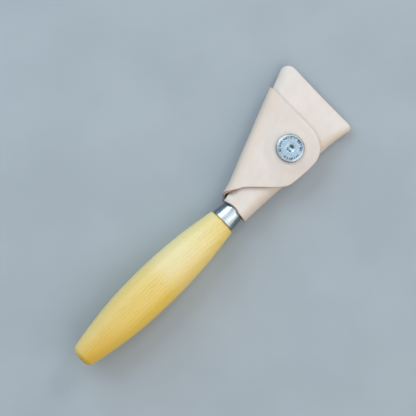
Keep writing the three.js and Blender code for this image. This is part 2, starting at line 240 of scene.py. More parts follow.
def turned(profile, sides, closed):
    """Points (along, across, up) and faces of a solid of revolution, from (along, radius) points."""
    angles = np.linspace(0, 2 * math.pi, sides, endpoint=False)
    points, rings, faces = [], [], []
    for along, radius in profile:
        first = len(points)
        if radius < 1e-6:
            points.append((along, 0, 0))
            rings.append([first] * sides)
        else:
            points += [(along, radius * math.cos(a), radius * math.sin(a)) for a in angles]
            rings.append(list(range(first, first + sides)))
    following = rings[1:] + rings[:1] if closed else rings[1:]
    for near, far in zip(rings, following):
        for i in range(sides):
            j = (i + 1) % sides
            faces.append(list(dict.fromkeys([near[i], near[j], far[j], far[i]])))
    return np.array(points), faces


def tilted(points, lift):
    """Points of the knife's own frame, laid down nose first on the table."""
    x, y, z = points.T
    cos, sin = math.cos(KNIFE_TILT), math.sin(KNIFE_TILT)
    return np.column_stack([x * cos + z * sin, y, z * cos - x * sin + lift])


def on_snap(points):
    """Points turned about an upright axis through the middle of the snap."""
    z, x, y = points.T
    return np.column_stack([x + SNAP[0], y + SNAP[1], z])


# ---- Knife ----


def handle_profile():
    rim = BUTT_DOME_RADIUS - BUTT_FLAT_RADIUS
    dome = [
        (BUTT_START + BUTT_DOME_LENGTH * (1 - math.cos(a)), BUTT_FLAT_RADIUS + rim * math.sin(a))
        for a in np.radians(np.arange(0, 90, 8))
    ]
    start = (BUTT_START + BUTT_DOME_LENGTH + 1, BUTT_DOME_RADIUS + 0.4)
    end = (HANDLE_FRONT - HANDLE_CHAMFER, HANDLE_FRONT_RADIUS + HANDLE_CHAMFER / 2)
    swell = track([start, *HANDLE_SWELL, end])
    body = [(x, float(swell(x))) for x in np.linspace(start[0], end[0], 90)]
    front = [
        (HANDLE_FRONT - 0.15, HANDLE_FRONT_RADIUS + 0.05),
        (HANDLE_FRONT, HANDLE_FRONT_RADIUS - HANDLE_CHAMFER / 2),
    ]
    return [*dome, *body, *front]


def make_handle(material, lift):
    inside = [
        (HANDLE_FRONT, TENON_RADIUS), (TENON_END, TENON_TIP_RADIUS), (TENON_END, BORE_RADIUS),
        (BORE_BOTTOM, BORE_RADIUS), (BORE_BOTTOM, 0),
    ]
    points, faces = turned([(BUTT_START, 0), *handle_profile(), *inside], 128, closed=False)
    piece = new_piece("birch_handle", tilted(points, lift), faces, material)
    return dress(piece, "knife", "birch", "handle")


def make_ferrule(material, lift):
    def outer(x):
        return FERRULE_RADIUS - FERRULE_TAPER * (x - FERRULE_START)

    nose_back = FERRULE_END - FERRULE_NOSE
    profile = [
        (FERRULE_START, outer(FERRULE_START) - FERRULE_WALL),
        (FERRULE_START, outer(FERRULE_START)),
        (FERRULE_END - FERRULE_BEVEL, outer(FERRULE_END - FERRULE_BEVEL)),
        (FERRULE_END, outer(FERRULE_END) - FERRULE_BEVEL),
        (FERRULE_END, FERRULE_HOLE),
        (nose_back, FERRULE_HOLE),
        (nose_back, outer(nose_back) - FERRULE_WALL),
    ]
    points, faces = turned(softened(profile, 0.3, closed=True), 128, closed=True)
    piece = new_piece("turned_ferrule", tilted(points, lift), faces, material)
    return dress(piece, "knife", "ferrule_steel", "ferrule")


def blade_stations():
    """Places along the blade's middle: x, y, heading, and how much of the blade's height is left."""
    tang = [TANG_TIP, *TANG_STATIONS, FERRULE_END]
    shoulder = [SHOULDER_START, *SHOULDER_STATIONS, SHOULDER_END]
    stations = [(x, 0.0, 0.0, 1.0) for x in [*tang, *shoulder, SHANK_MIDDLE]]
    swing = HOOK_CENTRE[1] - HOOK_RADIUS
    swing_length = HOOK_CENTRE[0] - SHANK_STRAIGHT_END
    for t in np.linspace(0, 1, 30, endpoint=False):
        heading = math.atan(swing * 6 * t * (1 - t) / swing_length)
        stations.append((SHANK_STRAIGHT_END + t * swing_length, swing * t * t * (3 - 2 * t), heading, 1.0))
    sweep = HOOK_END_ANGLE + math.pi / 2
    for turn in np.linspace(0, sweep, 96):
        angle = turn - math.pi / 2
        share = mix(TIP_SHARE, 1, math.sqrt(ease(sweep - turn, 0, TIP_TAPER_ANGLE)))
        x = HOOK_CENTRE[0] + HOOK_RADIUS * math.cos(angle)
        y = HOOK_CENTRE[1] + HOOK_RADIUS * math.sin(angle)
        stations.append((x, y, turn, share))
    return stations


def blade_section(x, y, heading, share):
    """Flat inside the hook, bevelled to the cutting edge outside it, with its back edges broken."""
    tang = mix(TANG_TIP_HALF_HEIGHT, TANG_HALF_HEIGHT, ease(x, TANG_TIP, TANG_TAPER_END))
    formed = ease(x, SHOULDER_START, SHOULDER_END)
    edge = mix(tang, BLADE_HALF_HEIGHT, formed)
    spine = edge - 2 * edge * share
    half = BLADE_THICKNESS / 2 * mix(0.6, 1, share)
    bevel_start = edge - mix(0.4, BEVEL_HEIGHT, formed) * share
    bevelled = mix(-half, half - BEVEL_EDGE, formed)
    broken = 0.22 * share
    outline = [
        (half, spine + broken), (half, edge), (bevelled, edge), (-half, bevel_start),
        (-half, spine + broken), (broken - half, spine), (half - broken, spine),
    ]
    side, front = math.cos(heading), math.sin(heading)
    return [(x - n * front, y + n * side, z) for n, z in outline]


def make_blade(material, lift):
    sections = [blade_section(*station) for station in blade_stations()]
    count = len(sections[0])
    points = np.array([p for section in sections for p in section])
    faces = []
    for i in range(len(sections) - 1):
        for j in range(count):
            a, b = i * count + j, i * count + (j + 1) % count
            faces.append([a, b, b + count, a + count])
    faces += [list(range(count)), list(range(len(points) - count, len(points)))]
    piece = new_piece("forged_hook", tilted(points, lift), faces, material, crease=25)
    return dress(piece, "knife", "blade_steel", "hook_blade")


# ---- Leather: where its surfaces run ----

right_side = track([(MOUTH_RIGHT, -8.3), (135, -8.9), (166, -10.2), (178, -11.1), (SHEATH_END, -12.9)])
front_top = track([
    (MOUTH_LEFT, 17.5), (122, 16.4), (135, 14.6), (156, 13.6), (168, 13), (SHEATH_END, 6.4),
])
right_reach = track([(MOUTH_RIGHT, 4.8), (135, 6), (168, 6), (SHEATH_END, 2.3)])
left_reach = track([(MOUTH_LEFT, 4.9), (130, 7), (FLAP_END, 7)])
part_turn = track([
    (MOUTH_LEFT, 1.3), (114.6, 1.75), (116, 2.1), (117.6, 2.4), (120.4, 2.72), (122.6, 2.99),
    (FULL_FOLD, math.pi),
])
mouth_flare = track([(MOUTH_LEFT, -0.6), (114.2, 0.3), (116, 0.75), (119.4, 0.37), (FULL_FOLD, 0)])
front_recess = track([
    (MOUTH_LEFT, 1.1), (114, 2.2), (115, 2.95), (116, 3.25), (118, 3.5), (120.4, 4.1),
    (FULL_FOLD, 6.4), (127, 8.5), (130, 9),
])
flap_edge = track([
    (FULL_FOLD, 6.2), (124.7, 5.35), (126.2, 4.15), (129.1, 1.4), (131.5, -1), (139, -8), (143, -10.5),
    (149, -11.3), (158, -11.6), (163, -11.2), (167.2, -9), (170, -5.8), (171.8, -2), (FLAP_END, 2),
])


def left_side(x):
    return FOLD_START[1] + (x - FOLD_START[0]) * math.tan(FOLD_ANGLE) + mouth_flare(x)


def right_start(x):
    return right_side(x) + LEATHER / 2 + right_reach(x)


def left_start(x):
    return left_side(x) - LEATHER / 2 - left_reach(x)


def ear_side(x):
    return left_side(x) - EAR_INSET


EAR_CENTRE = (
    SHEATH_END - EAR_RADIUS,
    ear_side(SHEATH_END - EAR_RADIUS) - EAR_RADIUS / math.cos(FOLD_ANGLE),
)


def snap_seat(x, y):
    """1 on the flat seat of the snap, falling to 0 in the leather around it."""
    return 1 - ease(np.hypot(x - SNAP[0], y - SNAP[1]), SNAP_FLAT_RADIUS, SNAP_BLEND_RADIUS)


def quarter_turn(y, side):
    """How far leather has turned down at y, from 0 well inside its side to 1 at its side."""
    bent = FRONT_TURN * clamp((y - side) / FRONT_TURN_WIDTH + 1)
    return (1 - np.sqrt(1 - bent**2)) / (1 - math.sqrt(1 - FRONT_TURN**2))


def front_middle(x, y):
    """The front panel turns down beside the ferrule at the mouth, and down to the back at the ear."""
    plain = mix(front_top(x), front_top(SNAP[0]) - SNAP_FRONT_SINK, snap_seat(x, y)) - LEATHER / 2
    inset = mix(MOUTH_TURN_INSET, INNER_TURN_INSET, ease(x, MOUTH_LEFT + 1, MOUTH_TURN_END))
    at_mouth = quarter_turn(y, left_side(x) - inset) * np.maximum(plain - front_top(x) / 2, 0)
    at_mouth *= 1 - ease(x, FULL_FOLD, FULL_FOLD + MOUTH_TURN_FADE)
    ear_height = mix(LEATHER * 2.6, LEATHER * 1.5 + GAP, ease(x, EAR_START, EAR_START + 6))
    at_ear = quarter_turn(y, ear_side(x)) * np.maximum(plain - ear_height, 0)
    return plain - at_mouth - at_ear * ease(x, EAR_BEGINS, EAR_START)


def flap_middle(x, y):
    seated = front_top(SNAP[0]) + LAYER_STEP + SNAP_FLAP_RISE
    plain = mix(front_top(x) + LAYER_STEP, seated, snap_seat(x, y)) - LEATHER / 2
    return plain - NOSE_DROOP * np.maximum(right_start(x) - y, 0) ** 2


def front_edge(x):
    """Left edge of the front panel: beside the ferrule, short of the fold, and out to the ear."""
    return mix(left_side(x) - front_recess(x), ear_side(x) - EAR_SETBACK, ease(x, EAR_BEGINS, EAR_START))


def folded(x, start, reach, top, turn, fullness):
    """A fold, from the flat back at turn 0 to the layer above at half a turn. Fullness 2 is an ellipse."""
    rise = (top - LEATHER / 2) / 2
    sin, cos = np.sin(turn), np.cos(turn)
    full = (np.abs(sin) ** fullness + np.abs(cos) ** fullness) ** (-1 / fullness)
    return np.column_stack([x, start + reach * sin * full, LEATHER / 2 + rise * (1 - cos * full)])


def fold_length(reach, top):
    """Length of leather in half a turn."""
    rise = (top - LEATHER / 2) / 2
    return math.pi * np.sqrt((reach**2 + rise**2) / 2)


def right_length(x):
    return fold_length(right_reach(x), front_middle(x, right_start(x)))


def left_length(x):
    return fold_length(left_reach(x), flap_middle(x, left_start(x)))


def place_wrap(x, s):
    """The middle of the wrap. s is 0 where the right fold leaves the back, and grows towards the front."""
    start, length = right_start(x), right_length(x)
    turn = clamp(s / length) * math.pi
    fold = folded(x, start, -right_reach(x), front_middle(x, start), turn, RIGHT_FULLNESS)
    past = start + s - length
    front = np.column_stack([x, past, front_middle(x, past)])
    back = np.column_stack([x, start - s, np.full_like(x, LEATHER / 2)])
    return np.where((s < 0)[:, None], back, np.where((s > length)[:, None], front, fold))


def place_flap(x, s):
    """The middle of the flap. s is 0 where the left fold leaves the back, and grows towards the flap."""
    start, length = left_start(x), left_length(x)
    turn = clamp(s / length) * math.pi
    fold = folded(x, start, left_reach(x), flap_middle(x, start), turn, LEFT_FULLNESS)
    past = start - (s - length)
    flap = np.column_stack([x, past, flap_middle(x, past)])
    back = np.column_stack([x, start + s, np.full_like(x, LEATHER / 2)])
    return np.where((s < 0)[:, None], back, np.where((s > length)[:, None], flap, fold))


# ---- Leather: its flat patterns ----


def line(from_x, to_x, across, count=200):
    """Pattern points (x, s) with x from one place to the other and s = across(x)."""
    x = np.linspace(from_x, to_x, count)
    return np.column_stack([x, across(x)])


def wrap_outline():
    """Sides of the wrap's pattern, anticlockwise, each with whether it is a seam."""
    def on_back(x, y):
        return np.column_stack([x, right_start(x) - y])

    def on_front(x, y):
        return np.column_stack([x, right_length(x) + y - right_start(x)])

    step_x = FLAP_END + GAP
    arc = np.linspace(math.pi / 2 + FOLD_ANGLE, 0, 24)
    corner = (EAR_CENTRE[0] + EAR_RADIUS * np.cos(arc), EAR_CENTRE[1] + EAR_RADIUS * np.sin(arc))
    back_edge = line(MOUTH_LEFT, step_x, lambda x: right_start(x) - (left_start(x) - SEAM))
    back_step = on_back(np.full(2, step_x), np.array([left_start(step_x) - SEAM, ear_side(step_x)]))
    x = np.linspace(step_x, corner[0][0], 30)
    back_ear = on_back(x, ear_side(x))
    front_ear = on_front(corner[0] - EAR_SETBACK / 2, corner[1] - EAR_SETBACK)[::-1]
    x = np.linspace(corner[0][0] - EAR_SETBACK / 2, MOUTH_LEFT, 300)
    front_side = on_front(x, front_edge(x))

    s = np.linspace(on_back(*corner)[-1, 1], front_ear[0, 1], 120)
    end_length = right_length(np.array([SHEATH_END]))[0]
    reach = np.where(s < 0, s / s[0], clamp((s - end_length) / (s[-1] - end_length)))
    corner_cut = END_CORNER * np.sin(clamp(s / end_length) * math.pi) ** 2
    end = np.column_stack([SHEATH_END - END_BOW * np.sin(math.pi * reach) - corner_cut, s])
    end[-1] = front_ear[0]

    s = np.linspace(front_side[-1, 1], back_edge[0, 1], 120)
    mouth_length = right_length(np.array([MOUTH_RIGHT]))[0]
    reach = np.where(s < 0, s / s[-1], clamp((s - mouth_length) / (s[0] - mouth_length)))
    bow = MOUTH_BOW * np.sin(math.pi * reach**0.75)
    lip = MOUTH_LIP * (1 - ease(s, 0, mouth_length)) * (1 - reach)
    mouth = np.column_stack([mix(MOUTH_RIGHT, MOUTH_LEFT, reach) + bow - lip, s])
    return [
        (back_edge, True), (back_step, False), (back_ear, False), (on_back(*corner), False), (end, False),
        (front_ear, False), (front_side, False), (mouth, False),
    ]


def flap_outline():
    def free_edge(x):
        length = left_length(x)
        on_flap = length + left_start(x) - flap_edge(x)
        in_fold = length * np.minimum(part_turn(x), math.pi) / math.pi
        return np.where(x < FULL_FOLD, in_fold, on_flap)

    u = np.linspace(0, math.pi / 2, 400)
    x = mix(MOUTH_LEFT, FLAP_END, np.sin(u))[::-1]
    nose = np.column_stack([x, free_edge(x)])
    seam = line(MOUTH_LEFT, FLAP_END, lambda x: np.full_like(x, -SEAM), 2)
    end = np.array([[FLAP_END, -SEAM], nose[0]])
    mouth = np.array([nose[-1], [MOUTH_LEFT, -SEAM]])
    return [(seam, True), (end, False), (nose, False), (mouth, False)]


# ---- Leather: its sheets ----


def evenly(points, step):
    """The line's points at an even step, without its last one."""
    along = np.concatenate([[0], np.cumsum(np.hypot(*np.diff(points, axis=0).T))])
    count = max(round(along[-1] / step), 1)
    at = np.linspace(0, along[-1], count + 1)[:-1]
    return np.column_stack([np.interp(at, along, points[:, k]) for k in (0, 1)])


def inward(ring):
    """For each point of an anticlockwise ring, the step that moves both of its sides in by 1."""
    side = np.roll(ring, -1, axis=0) - ring
    normal = np.column_stack([-side[:, 1], side[:, 0]]) / np.hypot(*side.T)[:, None]
    before = np.roll(normal, 1, axis=0)
    return (before + normal) / (1 + np.sum(before * normal, axis=1))[:, None]


def fill_points(ring):
    """Points of a triangular grid that lie well inside the ring."""
    low, high = ring.min(0), ring.max(0)
    rows = np.arange(low[1], high[1], GRID * math.sqrt(0.75))
    points = np.array([
        (x + (i % 2) * GRID / 2, s) for i, s in enumerate(rows) for x in np.arange(low[0], high[0], GRID)
    ])
    a, b = ring, np.roll(ring, -1, axis=0)
    crossings = np.zeros(len(points), int)
    nearest = np.full(len(points), np.inf)
    for (ax, ay), (bx, by) in zip(a, b):
        between = (ay > points[:, 1]) != (by > points[:, 1])
        if ay != by:
            at = ax + (points[:, 1] - ay) * (bx - ax) / (by - ay)
            crossings += between & (points[:, 0] < at)
        side = np.array([bx - ax, by - ay])
        t = clamp((points - (ax, ay)) @ side / (side @ side))
        nearest = np.minimum(nearest, np.hypot(*(points - (ax, ay) - t[:, None] * side).T))
    return points[(crossings % 2 == 1) & (nearest > GRID * 0.55)]


def mouth_slant(flat):
    """How far the front's grain side draws back at the mouth, and its flesh side stands out."""
    x, s = flat.T
    on_front = ease(s, right_length(x) - 4, right_length(x) + 2)
    return MOUTH_SLANT * on_front * (1 - ease(x, MOUTH_LEFT, MOUTH_LEFT + MOUTH_SLANT_FADE))


def leather_sheet(name, outline, place, grain_side, material):
    """A closed sheet with rounded cut edges, and where each of its points lies on the flat leather."""
    parts = [evenly(points, EDGE_STEP) for points, _ in outline]
    ring = np.concatenate(parts)
    seam = np.concatenate([np.full(len(p), is_seam) for p, (_, is_seam) in zip(parts, outline)])
    seam |= np.roll(seam, 1)
    step, count = inward(ring), len(ring)
    angles = np.radians([0, 30, 60, 90])
    rings = [ring + step * EDGE_ROUND * (1 - math.cos(a)) for a in angles]
    heights = [np.where(seam, 1, 1 - EDGE_ROUND * (1 - math.sin(a))) for a in angles]
    inner = np.concatenate([rings[3], fill_points(rings[3])])
    vectors = [Vector(p) for p in inner]
    made, _, triangles, sources, _, _ = delaunay_2d_cdt(vectors, [], [list(range(count))], 1, 1e-6)
    place_of = {source: i for i, found in enumerate(sources) for source in found}
    flat = np.concatenate([*rings[:3], np.array([tuple(p) for p in made])])
    height = np.concatenate([*heights[:3], np.ones(len(made))])
    rim = np.concatenate([np.repeat([1.0, 0.8, 0.4], count), np.zeros(len(made))])
    rim[:3 * count] *= np.tile(~seam, 3)

    loops = [np.arange(count) + k * count for k in range(3)]
    loops.append(np.array([3 * count + place_of[i] for i in range(count)]))
    faces = [[3 * count + i for i in triangle] for triangle in triangles]
    for outer, within in zip(loops, loops[1:]):
        for i in range(count):
            j = (i + 1) % count
            faces.append([outer[i], outer[j], within[j], within[i]])
    total = len(flat)
    under = [[i + total for i in reversed(face)] for face in faces]
    band = [[i, i + total, (i + 1) % count + total, (i + 1) % count] for i in range(count)]

    x, s = flat.T
    tiny = 1e-3
    along = place(x + tiny, s) - place(x - tiny, s)
    across = place(x, s + tiny) - place(x, s - tiny)
    normal = np.cross(along, across) * grain_side
    normal /= np.linalg.norm(normal, axis=1)[:, None]
    spots = [Vector((a * SWELL_SCALE, b * SWELL_SCALE, 3.0 * grain_side)) for a, b in flat]
    swell = np.array([noise.noise(spot) for spot in spots])
    middle = place(x, s) + normal * (SWELL_HEIGHT * swell * height)[:, None]
    out = normal * (LEATHER / 2 * height)[:, None]
    slant = np.zeros_like(out)
    slant[:, 0] = mouth_slant(flat) * height
    points = np.concatenate([middle + out + slant, middle - out - slant])
    piece = new_piece(name, points, faces + under + band, material, crease=60)
    pattern = np.column_stack([np.tile(flat, (2, 1)), np.concatenate([height, -height])])
    store(piece, "pattern", "FLOAT_VECTOR", "vector", pattern)
    store(piece, "rim", "FLOAT", "value", np.tile(rim, 2))
    return piece, pattern


def store(piece, name, kind, field, values):
    attribute = piece.data.attributes.new(name, kind, "POINT")
    attribute.data.foreach_set(field, np.asarray(values, np.float32).ravel())


def bend_between(piece, share):
    """Stores where each point lies in the bend, from share 0, which stays with the back, to 1, as the bend
    attribute.

    Each point is set out on a straight line by its share first, and put back where it belongs after.
    """
    lying = np.zeros(len(piece.data.vertices) * 3)
    piece.data.vertices.foreach_get("co", lying)
    piece.data.vertices.foreach_set("co", np.column_stack([share, 0 * share, 0 * share]).ravel())
    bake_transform(piece)
    piece.data.vertices.foreach_set("co", lying)
    piece.data.update()
    # The leather's colour reads this bend share to tint the folds tan, as painted shade.
    store(piece, "bend", "FLOAT", "value", 4 * share * (1 - share))


def make_wrap(material):
    piece, pattern = leather_sheet("leather_wrap", wrap_outline(), place_wrap, 1, material)
    bend_between(piece, clamp(pattern[:, 1] / right_length(pattern[:, 0])))
    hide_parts("sheath_back", "right_fold", "front_panel")


def make_flap(material):
    piece, pattern = leather_sheet("leather_flap", flap_outline(), place_flap, -1, material)
    x, s, _ = pattern.T
    still = FLAP_STILL * (1 - ease(x, FERRULE_END, FLAP_STILL_END))
    bend_between(piece, clamp((s / left_length(x) - still) / (1 - still)))
    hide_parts("left_fold", "flap_panel")


# ---- Snap ----


def make_cap(material, flap_top):
    base = flap_top + SNAP_SEAT
    stem = flap_top - LEATHER - 0.5
    crown = [
        (0, stem), (CAP_STEM_RADIUS, stem), (CAP_STEM_RADIUS, base), (CAP_RADIUS - 1.3, base),
        (CAP_RADIUS - 0.1, base + 0.75), (CAP_RADIUS, base + 1.1), (CAP_RADIUS - 0.15, base + 1.35),
        (CAP_RADIUS - 0.75, base + 1.8), (CAP_RADIUS - 1, base + 1.86), (CAP_RADIUS - 1.25, base + 1.6),
    ]
    face = [(r, base + 1.45 + 0.12 * ease(r, 6.2, 3.4)) for r in np.linspace(6.15, 2.9, 24)]
    dimple = [(r, base + 0.1 + 1.42 * ease(r, -0.2, 2.5)) for r in np.linspace(2.75, 0.2, 16)]
    outline = [*softened(crown, 0.25, closed=False, steps=3), *face, *dimple, (0, base + 0.12)]
    points, faces = turned([(z, r) for r, z in outline], 208, closed=False)
    z, x, y = points.T
    radius, angle = np.hypot(x, y), np.arctan2(y, x)
    band = ease(radius, 4.85, 5.05) * (1 - ease(radius, 5.85, 6.05)) * (z > base + 1)
    ripple = np.cos(angle * CAP_MARKS) + 0.9 * np.cos(angle * 9 + 1) + 0.6 * np.cos(angle * 17)
    stroke = ease(ripple, -1.1, 0.1)
    grouped = ease(np.cos(angle * 3 + 0.6) + 0.5 * np.cos(angle * 7), -1.1, -0.7)
    marks = band * stroke * grouped
    points[:, 0] -= 0.16 * marks
    piece = new_piece("snap_crown", on_snap(points), faces, material, crease=50)
    store(piece, "marks", "FLOAT", "value", marks)
    return dress(piece, "flap", "snap_metal", "snap_cap")


def snap_ring(name, profile, ease_radius, material, body, slot, node):
    outline = [(z, r) for r, z in profile]
    points, faces = turned(softened(outline, ease_radius, closed=True, steps=3), 96, closed=True)
    piece = new_piece(name, on_snap(points), faces, material)
    return dress(piece, body, slot, node)


def make_socket(material, flap_under, front_surface):
    top = flap_under - SNAP_SEAT
    bottom = front_surface + SNAP_SEAT + 0.7
    hole = CAP_STEM_RADIUS + GAP
    profile = [
        (hole, top), (6.2, top), (6.2, top - 0.6), (4.8, top - 0.7), (4.6, bottom), (3.2, bottom),
        (3.2, bottom + 0.2), (3.7, bottom + 0.25), (3.7, top - 0.45), (hole, top - 0.45),
    ]
    snap_ring("snap_socket_ring", profile, 0.15, material, "flap", "snap_metal", "snap_socket")


def make_spring(material, front_surface):
    height = front_surface + SNAP_SEAT + 1.4
    wire = [
        (3.25 + 0.22 * math.cos(a), height + 0.22 * math.sin(a))
        for a in np.linspace(0, 2 * math.pi, 16, endpoint=False)
    ]
    snap_ring("snap_ring_spring", wire, 0.02, material, "flap", "spring_wire", "snap_spring")


def make_stud(material, front_surface):
    base = front_surface + SNAP_SEAT
    profile = [
        (1.7, base), (5, base), (5, base + 0.5), (2.4, base + 0.6), (2.3, base + 1.1),
        (2.7, base + 1.35), (2.5, base + 1.6), (1.7, base + 1.65),
    ]
    snap_ring("snap_stud_turned", profile, 0.15, material, "front", "snap_metal", "snap_stud")


def make_post(material, front_surface):
    top = front_surface - LEATHER - SNAP_SEAT
    profile = [
        (0.9, top - 0.6), (4.8, top - 0.4), (4.8, top), (POST_RADIUS, top),
        (POST_RADIUS, front_surface + 1.5), (0.9, front_surface + 1.5),
    ]
    snap_ring("snap_post_turned", profile, 0.12, material, "front", "snap_metal", "snap_post")


# ---- Materials ----


def tint(red, green, blue):
    """A colour seen on screen, from 0 to 255, as the shader's linear one."""
    def linear(value):
        value /= 255
        return value / 12.92 if value < 0.04045 else ((value + 0.055) / 1.055) ** 2.4

    return (linear(red), linear(green), linear(blue), 1)


class Finish:
    """A material, with its nodes made by calls that give back an output socket."""

    def __init__(self, name, **constants):
        self.material = bpy.data.materials.new(name)
        self.material.use_nodes = True
        self.tree = self.material.node_tree
        self.shader = self.tree.nodes["Principled BSDF"]
        for key, value in constants.items():
            self.shader.inputs[key.replace("_", " ")].default_value = value

    def node(self, kind, sockets, output=0, **settings):
        node = self.tree.nodes.new(kind)
        for key, value in settings.items():
            setattr(node, key, value)
        for key, value in sockets.items():
            self.feed(node.inputs[key], value)
        return node.outputs[output]

    def feed(self, socket, value):
        if isinstance(value, bpy.types.NodeSocket):
            self.tree.links.new(value, socket)
        else:
            socket.default_value = value

    def surface(self, **sockets):
        for key, value in sockets.items():
            self.feed(self.shader.inputs[key.replace("_", " ")], value)
        return self.material

    def attribute(self, name, output="Fac"):
        return self.node("ShaderNodeAttribute", {}, output, attribute_name=name)

    def place(self, source, scale=(1, 1, 1), location=(0, 0, 0), rotation=(0, 0, 0)):
        sockets = {"Vector": source, "Scale": scale, "Location": location, "Rotation": rotation}
        return self.node("ShaderNodeMapping", sockets)

    def in_millimetres(self):
        coordinates = self.node("ShaderNodeTexCoord", {}, "Object")
        offset = tuple(-v / MM for v in SHIFT)
        return self.place(coordinates, scale=(1 / MM,) * 3, location=offset)

    def noise(self, where, scale, detail=2, roughness=0.5):
        sockets = {"Vector": where, "Scale": scale, "Detail": detail, "Roughness": roughness}
        return self.node("ShaderNodeTexNoise", sockets, "Fac")

    def cells(self, where, scale):
        return self.node("ShaderNodeTexVoronoi", {"Vector": where, "Scale": scale}, "Distance")

    def span(self, value, low, high, to_low=0.0, to_high=1.0):
        sockets = {0: value, 1: low, 2: high, 3: to_low, 4: to_high}
        return self.node("ShaderNodeMapRange", sockets, interpolation_type="SMOOTHSTEP")

    def math(self, operation, a, b=0.0):
        return self.node("ShaderNodeMath", {0: a, 1: b}, operation=operation)

    def blend(self, share, a, b):
        return self.node("ShaderNodeMix", {0: share, 6: a, 7: b}, 2, data_type="RGBA")

    def bump(self, height, distance, strength=1.0, normal=None):
        sockets = {"Height": height, "Distance": distance * MM, "Strength": strength}
        if normal is not None:
            sockets["Normal"] = normal
        return self.node("ShaderNodeBump", sockets)


def leather_finish():
    """Undyed vegetable tanned leather: a smooth pored grain side, a fibrous back and cut edges with a
    reddish grain lip, and painted shade: tan in the folds and near black on the flesh half of the cut
    edges.
    """
    f = Finish("natural_leather", Specular_IOR_Level=0.35)
    pattern = f.attribute("pattern", "Vector")
    flat = f.place(pattern, scale=(1, 1, 0))
    depth = f.node("ShaderNodeSeparateXYZ", {0: pattern}, "Z")
    flesh = f.span(depth, -0.35, -0.75)
    rim = f.attribute("rim")
    cloudy = f.noise(flat, 0.045, 4, 0.6)
    blotchy = f.noise(f.place(flat, scale=(0.5, 1.3, 1)), 0.35, 3)
    pores = f.cells(flat, 2.3)
    fibres = f.noise(f.place(flat, scale=(1, 2.4, 1)), 1.8, 5, 0.7)
    colour = f.blend(f.span(cloudy, 0.35, 0.65), tint(231, 222, 215), tint(238, 231, 226))
    colour = f.blend(f.span(blotchy, 0.5, 0.8, 0, 0.22), colour, tint(226, 208, 195))
    colour = f.blend(f.span(pores, 0.0, 0.22, 0.3, 0), colour, tint(206, 182, 164))
    # Painted shade: warm tan across the folds, where the leather turns down away from the light.
    colour = f.blend(f.math("MULTIPLY", f.attribute("bend"), 0.5), colour, tint(230, 206, 178))
    raw = f.blend(f.span(fibres, 0.3, 0.7), tint(196, 170, 148), tint(222, 203, 186))
    colour = f.blend(flesh, colour, raw)
    pale_edge_and_sheen = f.blend(f.span(fibres, 0.35, 0.65), tint(228, 206, 192), tint(244, 230, 220))
    # Cut edges: a pale face and a reddish lip at the grain side, with painted shade: the flesh half is
    # near black, as the shadow under the edge.
    cut = f.blend(f.span(depth, -0.1, -0.4), pale_edge_and_sheen, tint(64, 42, 35))
    cut = f.blend(f.span(depth, 0.4, 0.62), cut, tint(158, 102, 84))
    colour = f.blend(f.span(rim, 0.3, 0.95, 0, 0.9), colour, cut)
    rough = f.span(f.math("ADD", f.math("MULTIPLY", blotchy, 0.5), flesh), 0.1, 1.2, 0.52, 0.9)
    waves = f.bump(cloudy, 0.6, 0.5)
    grained = f.bump(f.span(pores, 0, 0.35), 0.03, 0.6, waves)
    normal = f.bump(f.math("MULTIPLY", fibres, f.math("ADD", flesh, rim)), 0.12, 0.8, grained)
    return f.surface(Base_Color=colour, Roughness=rough, Normal=normal)


